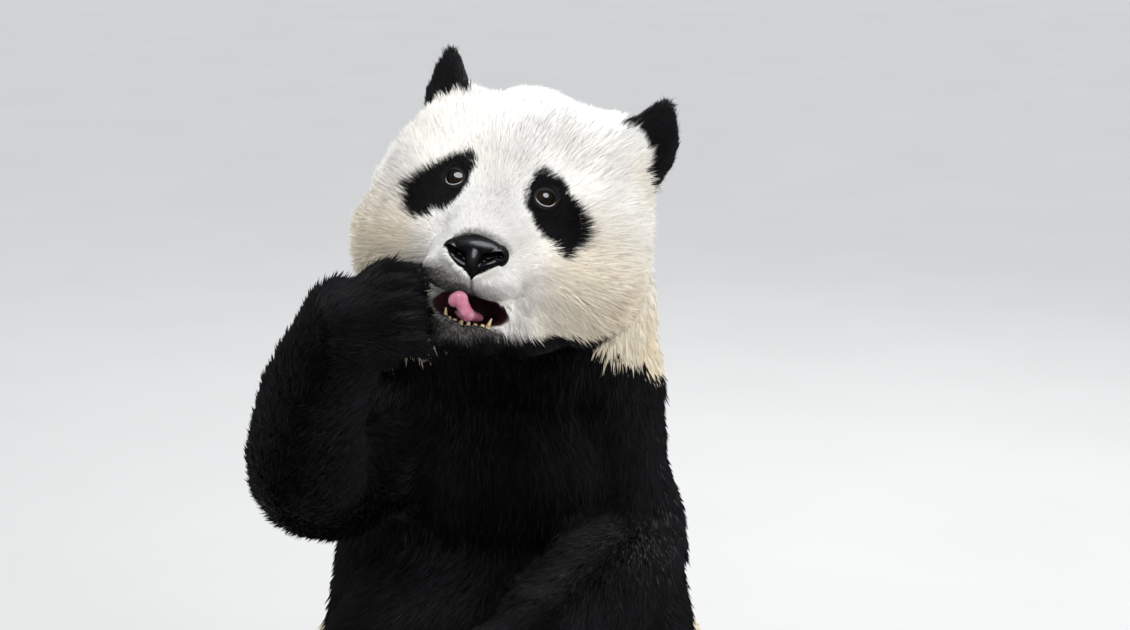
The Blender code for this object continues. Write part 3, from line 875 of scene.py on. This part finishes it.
def groove_under_nose(points):
    x, y, z = to_head(points).T
    cut = np.exp(-((x - 0.7) / 0.24) ** 2) * ramp(-10.9, -10.2, z) * ramp(-7.4, -8.2, z)
    cut *= y < -11
    inward = np.array(HEAD.to_3x3() @ Vector((0, 1, 0.25)))
    return points + (0.8 * cut)[:, None] * inward


shaped = make_room_for_nose(groove_under_nose(make_room_for_eyes(places(skin.data))))
put_places(skin.data, ears_shaped(lower_lip_raised(shaped)))
skin.data.shade_smooth()


# The hide itself shows only between the tufts, in the mouth and on the paws' pads.
def marked(knot, black, warm, grey, white_root):
    """The coat's colour from how black, warm and grey it is; the grey holds painted shade on the
    chin and one lip.
    """
    cream = warm.mix(white_root, (0.68, 0.55, 0.37))
    dull = grey.mix(cream, (0.055, 0.050, 0.048))
    return black.mix(dull, (0.0075, 0.0075, 0.0085))


def skin_colours(knot):
    black = knot.read("black").between(-0.002, 0.002)
    coat = marked(knot, black, knot.read("warm"), knot.read("grey"), (0.80, 0.75, 0.69))
    flesh = knot.noise(300, 3).mix((0.030, 0.010, 0.012), (0.075, 0.022, 0.028))
    lining = knot.read("inside").mix((0.010, 0.009, 0.010), flesh)
    cracks = knot.cells("DISTANCE_TO_EDGE", 420)
    hide = knot.noise(800, 4) * 0.5 + cracks.between(0.0, 0.25)
    return {"Base_Color": knot.read("bare").mix(coat, lining),
            "Roughness": 0.78 - knot.read("inside") * 0.38,
            "Normal": knot.bump(hide, 0.0009)}


finish(skin, material("skin", skin_colours, Specular_IOR_Level=0.25), "white_coat",
       *[name for name in FLESH if name != "nose"])


# ---------------- nose
# A pad of bare black leather, moist and finely pebbled, with two comma-shaped nostrils.
def lump(bm, frame_of, centre, radii, turn=(0, 0, 0)):
    made = bmesh.ops.create_icosphere(bm, subdivisions=4, radius=1)["verts"]
    spin = Matrix.Rotation(math.radians(turn[2]), 4, "Z") @ Matrix.Rotation(
        math.radians(turn[1]), 4, "Y") @ Matrix.Rotation(math.radians(turn[0]), 4, "X")
    place = frame_of @ Matrix.Translation(centre) @ spin @ Matrix.Diagonal((*radii, 1))
    bmesh.ops.transform(bm, matrix=place, verts=made)


def melted(name, frame_of, lumps, grain, rounds):
    """Soft lumps given as (centre, radii, turn), fused into one smooth body."""
    bm = bmesh.new()
    for one in lumps:
        lump(bm, frame_of, *one)
    obj = object_of(name, mesh_of(bm, name))
    modified(obj, "REMESH", mode="VOXEL", voxel_size=grain)
    return modified(obj, "SMOOTH", factor=0.5, iterations=rounds)


def both(x, y, z, radii, turn=(0, 0, 0)):
    return [((side * x, y, z), radii, (turn[0], side * turn[1], side * turn[2]))
            for side in SIDES]


def cut_away(obj, other):
    modified(obj, "BOOLEAN", operation="DIFFERENCE", object=other)
    bpy.data.objects.remove(other)
    return obj


NOSE = HEAD @ Matrix.Translation(NOSE_PLACE) @ Matrix.Rotation(math.radians(-5), 4, "Y")
nose = melted("nose_leather", NOSE, [
    ((0, 0.7, 0.15), (3.5, 0.8, 1.75)),
    ((0, 0.1, 0.95), (3.2, 1.5, 1.3), (-12, 0, 0)),
    ((0, -0.45, -0.5), (1.0, 1.2, 1.7)),
    ((0, 0.0, -1.75), (0.85, 1.1, 0.9)),
    ((0, 0.3, -2.35), (0.42, 0.8, 0.55)),
    *both(2.65, 0.25, 0.3, (1.3, 1.35, 1.35), (0, 12, 0)),
    *both(1.65, -0.15, -1.0, (1.8, 1.1, 0.50), (0, -27, 0)),
], 0.0008, 4)
nostrils = melted("nostrils", NOSE, [
    *both(1.75, -1.5, -0.05, (0.95, 1.6, 0.50), (0, -16, 0)),
    *both(2.6, -1.2, 0.3, (0.95, 1.6, 0.42), (0, -26, 0)),
    *both(3.1, -1.0, 0.25, (0.50, 1.3, 0.42)),
], 0.0006, 2)
cut_away(nose, nostrils)
modified(nose, "SMOOTH", factor=0.5, iterations=3)


def leather_colours(knot):
    pebbles = knot.cells("SMOOTH_F1", 900)
    worn = knot.noise(160, 3)
    return {"Base_Color": worn.between(0.4, 0.8).mix((0.0008, 0.0008, 0.001),
                                                    (0.003, 0.0028, 0.003)),
            "Roughness": worn.between(0.3, 0.7) * 0.2 + 0.30,
            "Normal": knot.bump(pebbles, 0.0005, 0.7)}


nose.data.shade_smooth()
finish(nose, material("nose leather", leather_colours, Specular_IOR_Level=0.02,
                      Coat_Weight=0.045, Coat_Roughness=0.14),
       "nose_leather", "nose")


# ---------------- tongue and teeth
# The tongue is moist pink flesh that curls over the lower lip. The lower front teeth are worn
# ivory, a row of small ones between two canines, set in the jaw.
tongue = melted("tongue_tip", HEAD, [
    ((0.0, -8.5, -13.0), (1.6, 4.0, 0.75)),
    ((0.5, -12.4, -13.0), (1.2, 2.2, 0.75)),
    ((0.95, -14.2, -12.95), (0.85, 1.2, 0.85), (0, 40, 0)),
    ((0.85, -14.9, -12.7), (0.85, 0.80, 0.80), (0, 40, 0)),
    ((0.5, -15.05, -12.25), (0.72, 0.72, 0.80), (0, 40, 0)),
    ((0.15, -15.15, -11.8), (0.80, 0.72, 0.85), (0, 30, 0)),
    ((-0.15, -15.2, -11.45), (1.05, 0.78, 0.95), (0, 20, 0)),
    ((-0.75, -15.1, -11.7), (0.75, 0.70, 0.85)),
], 0.0011, 9)


def tongue_colours(knot):
    grain = knot.noise(1100, 4)
    broad = knot.noise(120, 2)
    pink = broad.between(0.35, 0.7).mix((0.29, 0.072, 0.11), (0.41, 0.17, 0.25))
    return {"Base_Color": grain.between(0.55, 0.8).mix(pink, (0.48, 0.28, 0.33)),
            "Normal": knot.bump(grain, 0.0007, 0.6)}


tongue.data.shade_smooth()
finish(tongue, material("tongue", tongue_colours, Roughness=0.32, Subsurface_Weight=0.15,
                        Subsurface_Scale=0.004, Coat_Weight=0.4, Coat_Roughness=0.2),
       "tongue", "tongue")

TEETH_MIDDLE = 0.6
TEETH = [  # across, height of the root and of the tip, radius, in head units
    (0.40, -15.2, -13.75, 0.37), (1.12, -15.2, -13.75, 0.38), (1.84, -15.2, -13.65, 0.38),
    (2.42, -15.4, -12.7, 0.50),
]
bm = bmesh.new()
for side in SIDES:
    for out, root, tip, radius in TEETH:
        across, tall = TEETH_MIDDLE + side * out, tip - root
        back = 0.165 * across ** 2 - 13.0 + 0.3 * (radius > 0.5)
        made = bmesh.ops.create_cone(bm, cap_ends=True, segments=14, radius1=radius,
                                     radius2=radius * (0.6 if radius < 0.5 else 0.18), depth=tall)
        place = Matrix.Translation((across, back, root + tall / 2))
        lean = Matrix.Rotation(math.radians(5 * side * out), 4, "Y")
        bmesh.ops.transform(bm, matrix=HEAD @ place @ lean, verts=made["verts"])
teeth = object_of("lower_teeth", mesh_of(bm, "lower_teeth"))
bevel = teeth.modifiers.new("round", "BEVEL")
bevel.width, bevel.segments = 0.0009, 3
teeth.data.shade_smooth()


def tooth_colours(knot):
    stain = knot.noise(350, 4)
    return {"Base_Color": stain.between(0.35, 0.75).mix((0.46, 0.35, 0.20),
                                                       (0.19, 0.12, 0.05))}


finish(teeth, material("tooth", tooth_colours, Roughness=0.3), "claw")


# ---------------- claws
# Twenty curved claws of worn horn with blunt tips, mottled dark and pale. Each is
# its solid, rounded.
def horn_colours(knot):
    grain = knot.noise(400, 4)
    return {"Base_Color": grain.between(0.3, 0.75).mix((0.10, 0.075, 0.05),
                                                      (0.34, 0.27, 0.18)),
            "Normal": knot.bump(grain, 0.0004, 0.5)}


horn = material("claw", horn_colours, Roughness=0.38)
for name in sorted(nodes):
    if "_claw_" in name:
        claw = object_of("horn_" + name, mesh_of(solid_of(name), "horn_" + name))
        round_off = claw.modifiers.new("round", "SUBSURF")
        round_off.levels = round_off.render_levels = 2
        claw.data.shade_smooth()
        finish(claw, horn, "claw", name)


# ---------------- coat
# Dense fur in thin tapered tufts, each rooted in the skin and lying along the plan. A tuft is
# four-faced: two roots side by side, a raised back and a tip.
SEED = 7
TUFT_SHARE = 1.0
PATCH = 0.0015                    # half the width of a tuft's patch on the unwrapped skin
ROOTED = 0.06                     # of a tuft's length lies under the hide
BACK_AT = 0.45                    # a tuft is highest this far along
LOWEST = 0.0004                   # hair on the floor is pressed flat, to this height
ROUNDED = 0.42                    # how much a tuft shades like a round lock
PIECES = {                        # tufts in each piece of the coat
    "face_left": 46000, "face_right": 46000, "crown": 40000, "neck": 30000, "chest": 46000,
    "trunk": 42000, "arm_left": 40000, "arm_right": 38000, "leg_left": 22000, "leg_right": 22000,
}


LIMB_PIECES = {"upper_arm": "arm_", "forearm": "arm_", "forepaw": "arm_",
               "thigh": "leg_", "shank": "leg_", "hind_foot": "leg_"}


def piece_of(points, part):
    """Which piece of the coat covers each place on the skin."""
    chosen = np.full(len(points), "trunk", dtype="<U12")
    for name in FLESH:
        word, _, side = name.rpartition("_")
        if word in LIMB_PIECES:
            chosen[on_any(part, [name])] = LIMB_PIECES[word] + side
        elif name in ("neck", "chest"):
            chosen[on_any(part, [name])] = name
    chosen[on_any(part, HEAD_PARTS + EARS)] = "crown"
    x, y, _ = to_head(points).T
    face = on_any(part, HEAD_PARTS) & (y < 1)
    chosen[face] = np.where(x[face] >= 0, "face_left", "face_right")
    return chosen


def unwrapped(name, whole, picked):
    """A copy of the skin's picked faces in triangles, unwrapped on its own."""
    bm = bmesh.new()
    bm.from_mesh(whole)
    bm.faces.ensure_lookup_table()
    dropped = [bm.faces[i] for i in np.flatnonzero(~picked)]
    bmesh.ops.delete(bm, geom=dropped, context="FACES")
    bmesh.ops.triangulate(bm, faces=bm.faces)
    obj = object_of(name, mesh_of(bm, name))
    bpy.ops.object.select_all(action="DESELECT")
    obj.select_set(True)
    bpy.context.view_layer.objects.active = obj
    bpy.ops.object.mode_set(mode="EDIT")
    bpy.ops.mesh.select_all(action="SELECT")
    bpy.ops.uv.smart_project(angle_limit=math.radians(66), island_margin=0.004)
    bpy.ops.object.mode_set(mode="OBJECT")
    return obj


def stored(mesh, name):
    kept = mesh.attributes[name]
    wide = kept.data_type == "FLOAT_VECTOR"
    return column(kept.data, "vector" if wide else "value", 3 if wide else 1)


def grow_coat(name, bed, count, draw):
    """The joined mesh of one piece of the coat, over the bed of skin triangles."""
    mesh = bed.data
    points, facing = places(mesh), normals(mesh)
    corner = column(mesh.polygons, "vertices", 3, whole=True)
    chart = column(mesh.uv_layers[0].uv, "vector", 2).reshape(-1, 3, 2)
    first, second, third = points[corner.T]
    area = np.linalg.norm(np.cross(second - first, third - first), axis=1) / 2
    sizes, bare = stored(mesh, "sizes"), stored(mesh, "bare")
    need = area * (1 - ramp(0.3, 0.6, bare[corner].mean(axis=1)))
    need /= (sizes[corner, 1] * sizes[corner, 2]).mean(axis=1)
    need *= 1 - 0.75 * ramp(0.012, 0.0, points[corner, 2].mean(axis=1))
    face = draw.choice(len(corner), int(count * TUFT_SHARE), p=need / need.sum())
    weight = draw.dirichlet((1, 1, 1), len(face))

    def at_root(values):
        return np.einsum("ij,ij...->i...", weight, values[corner[face]])

    def planned(name):
        return at_root(stored(mesh, name))

    root, up = at_root(points), unit_rows(at_root(facing))
    lie = unit_rows(flat_on(planned("lie"), up))
    beside = np.cross(up, lie)
    depth, length, width = at_root(sizes).T
    swirl = 0.16 * waves(root, 0.030, 1) + 0.10 * waves(root, 0.009, 2)
    swirl += draw.normal(0, 0.13, len(root))
    c, s = np.cos(swirl)[:, None], np.sin(swirl)[:, None]
    lie, beside = lie * c + beside * s, beside * c - lie * s
    size = draw.lognormal(0, 0.16, len(root)) * (1 + 0.08 * waves(root, 0.014, 3))
    length, width = length * size, width * draw.uniform(0.7, 1.25, len(root))
    lift = np.arcsin(np.clip(depth / length, 0.05, 0.85))
    lift *= draw.uniform(0.55, 1.12, len(root)) * (1 + 0.18 * waves(root, 0.011, 4))
    roll = draw.normal(0, 0.45, len(root))
    half = (beside * np.cos(roll)[:, None] + up * np.sin(roll)[:, None]) * width[:, None] / 2
    base = root - up * (ROOTED * length)[:, None]

    def along(share, angle):
        reach = (length * share)[:, None]
        return base + reach * (lie * np.cos(angle)[:, None] + up * np.sin(angle)[:, None])

    back = along(BACK_AT, lift * 1.25 + 0.10)
    tip = along(1.0, lift)
    tufts = np.stack((base - half, base + half, back, tip), 1)
    tufts[:, :, 2] = np.maximum(tufts[:, :, 2], LOWEST)

    black = planned("black")
    black += 0.0028 * waves(root, 0.010, 5) + draw.normal(0, 0.0016, len(root))
    tone = np.clip(0.5 + 0.28 * waves(root, 0.05, 6) + draw.normal(0, 0.22, len(root)), 0, 1)
    warm = np.clip(planned("warm") + 0.10 * waves(root, 0.06, 8), 0, 1)
    grey = np.clip(planned("grey") * draw.uniform(0.62, 1.30, len(root)), 0, 1)

    hair = bpy.data.meshes.new("coat_" + name)
    total = len(tufts)
    hair.vertices.add(4 * total)
    hair.vertices.foreach_set("co", tufts.ravel().astype(np.float32))
    order = np.array(((0, 2, 1), (0, 3, 2), (1, 2, 3), (0, 1, 3)), np.int32)
    if np.einsum("ij,ij->i", np.cross(tufts[:, 1] - tufts[:, 0], tufts[:, 2] - tufts[:, 0]),
                 tufts[:, 3] - tufts[:, 0]).sum() < 0:
        order = order[:, ::-1]
    faces = (np.arange(total, dtype=np.int32)[:, None, None] * 4 + order).ravel()
    hair.loops.add(12 * total)
    hair.loops.foreach_set("vertex_index", faces)
    hair.polygons.add(4 * total)
    hair.polygons.foreach_set("loop_start", np.arange(0, 12 * total, 3, dtype=np.int32))
    hair.update(calc_edges=True)
    for key, values in (("black", ramp(-0.0008, 0.0008, black)), ("tone", tone), ("warm", warm),
                        ("grey", grey)):
        attribute(hair, key, np.repeat(values, 4))
    attribute(hair, "along", np.tile((0.0, 0.0, 0.5, 1.0), total))
    middle = np.einsum("ij,ijk->ik", weight, chart[face])
    spots = np.array(((-PATCH, -PATCH), (PATCH, -PATCH), (0, 0), (0, PATCH)))
    flat = (middle[:, None] + spots)[np.arange(total)[:, None, None], order[None]]
    layer = hair.uv_layers.new(name="OFBake")
    layer.uv.foreach_set("vector", flat.ravel().astype(np.float32))
    hair.shade_smooth()
    # The light falls on the fur as on the body's own form, so that the tufts' facets stay soft.
    glint = draw.normal(0, 1, (2, len(root), 1)) * (
        0.16 + 0.26 * ramp(-0.002, 0.002, black) + 0.14 * ramp(0.014, 0.006, length))[:, None]
    stray = up + glint[0] * beside + glint[1] * lie
    lean = stray[:, None] + ROUNDED * beside[:, None] * np.array((-1, 1, 0, 0))[None, :, None]
    lean = lean + 0.35 * lie[:, None] * np.array((-0.5, -0.5, 0.3, 1))[None, :, None]
    hair.normals_split_custom_set_from_vertices(unit_rows(lean).reshape(-1, 3))
    return object_of("coat_" + name, hair)


def coat_colours(knot):
    tone, along = knot.read("tone"), knot.read("along")
    tip_white = tone.mix((0.87, 0.85, 0.81), (0.95, 0.945, 0.93))
    # Towards the root each tuft is a little darker: painted shade deep in the coat.
    white = along.between(0.0, 0.6).mix((0.83, 0.80, 0.75), tip_white)
    tan = tone.mix((0.76, 0.63, 0.44), (0.88, 0.80, 0.64))
    cream = (knot.read("warm") * along.between(-0.4, 1.0)).mix(white, tan)
    # The grey darkens the chin and the right of the upper lip partly as painted shade.
    dull = knot.read("grey").mix(cream, tone.mix((0.013, 0.012, 0.012),
                                                 (0.08, 0.075, 0.07)))
    dark = tone.mix((0.0025, 0.0025, 0.003), (0.0085, 0.0085, 0.0098))
    return {"Base_Color": knot.read("black").mix(dull, dark),
            "Roughness": knot.read("black") * -0.22 + 0.72}


coat_finish = material("coat", coat_colours, Specular_IOR_Level=0.08)
draw = np.random.default_rng(SEED)
share = piece_of(places(skin.data), stored(skin.data, "part").round().astype(int))
first = column(skin.data.polygons, "loop_start", whole=True)
share_of_face = share[column(skin.data.loops, "vertex_index", whole=True)[first]]
for name, count in PIECES.items():
    bed = unwrapped("bed " + name, skin.data, share_of_face == name)
    coat = grow_coat(name, bed, count, draw)
    bpy.data.objects.remove(bed)
    black = name in ("chest", "arm_left", "arm_right", "leg_left", "leg_right")
    finish(coat, coat_finish, "black_coat" if black else "white_coat")


# ---------------- stage
# A wide pale floor, three soft lamps, a light that only the wet parts mirror, and the camera.
FLOOR_HALF = 30                   # half its side, in metres
bm = bmesh.new()
bmesh.ops.create_grid(bm, x_segments=1, y_segments=1, size=FLOOR_HALF)
floor = object_of("floor", mesh_of(bm, "floor"))
floor.data.materials.append(material("floor", lambda knot: {"Base_Color": knot.noise(3, 2).mix(
    (0.38, 0.38, 0.375), (0.41, 0.41, 0.405))}, Roughness=0.8))
HEAD_PLACE = Vector(HEAD.translation)


def lamp(name, place, size, power, tint):
    """A round lamp that shines on the head."""
    light = bpy.data.lights.new(name, "AREA")
    light.shape, light.size, light.energy, light.color = "DISK", size, power, tint
    obj = object_of(name, light)
    obj.location = place
    obj.rotation_euler = (HEAD_PLACE - Vector(place)).to_track_quat("-Z", "Y").to_euler()
    return obj


lamp("key", (-0.5, -1.5, 2.9), 0.45, 30, (1.0, 0.98, 0.95))
fill = lamp("fill", (2.4, -2.4, 1.6), 3.2, 70, (1.0, 0.99, 0.97))
fill.visible_glossy = False
lamp("rim", (0.9, 1.8, 2.3), 1.4, 45, (1.0, 1.0, 1.0))
sky = lamp("sky light in the eyes", (0.42, -1.85, 2.9), 3.2, 1800, (0.9, 0.95, 1.0))
sky.visible_diffuse = False
wet = bpy.data.collections.new("wet parts")
for name in ("eyeball_left", "eyeball_right", "nose_leather"):
    wet.objects.link(bpy.data.objects[name])
sky.light_linking.receiver_collection = wet
world = bpy.data.worlds.new("studio")
world.use_nodes = True
tint, strength = world.node_tree.nodes["Background"].inputs[:2]
tint.default_value, strength.default_value = (0.95, 0.97, 1.0, 1), 1.50
bpy.context.scene.world = world
bpy.context.scene.view_settings.view_transform = "Standard"

CAMERA_FALL = math.radians(13)    # how far the camera looks down
CAMERA_AWAY = 2.87                # from the head
AIM_ASIDE, AIM_BELOW = 0.0614, 0.1076   # of the picture's middle from the head
ahead = Vector((0, math.cos(CAMERA_FALL), -math.sin(CAMERA_FALL)))
above = Vector((0, math.sin(CAMERA_FALL), math.cos(CAMERA_FALL)))
camera = object_of("camera", bpy.data.cameras.new("camera"))
camera.data.lens, camera.data.sensor_width = 85, 36
camera.location = (HEAD_PLACE + Vector((AIM_ASIDE, 0, 0)) - above * AIM_BELOW
                   - ahead * CAMERA_AWAY)
camera.rotation_euler = ahead.to_track_quat("-Z", "Y").to_euler()
bpy.context.scene.camera = camera
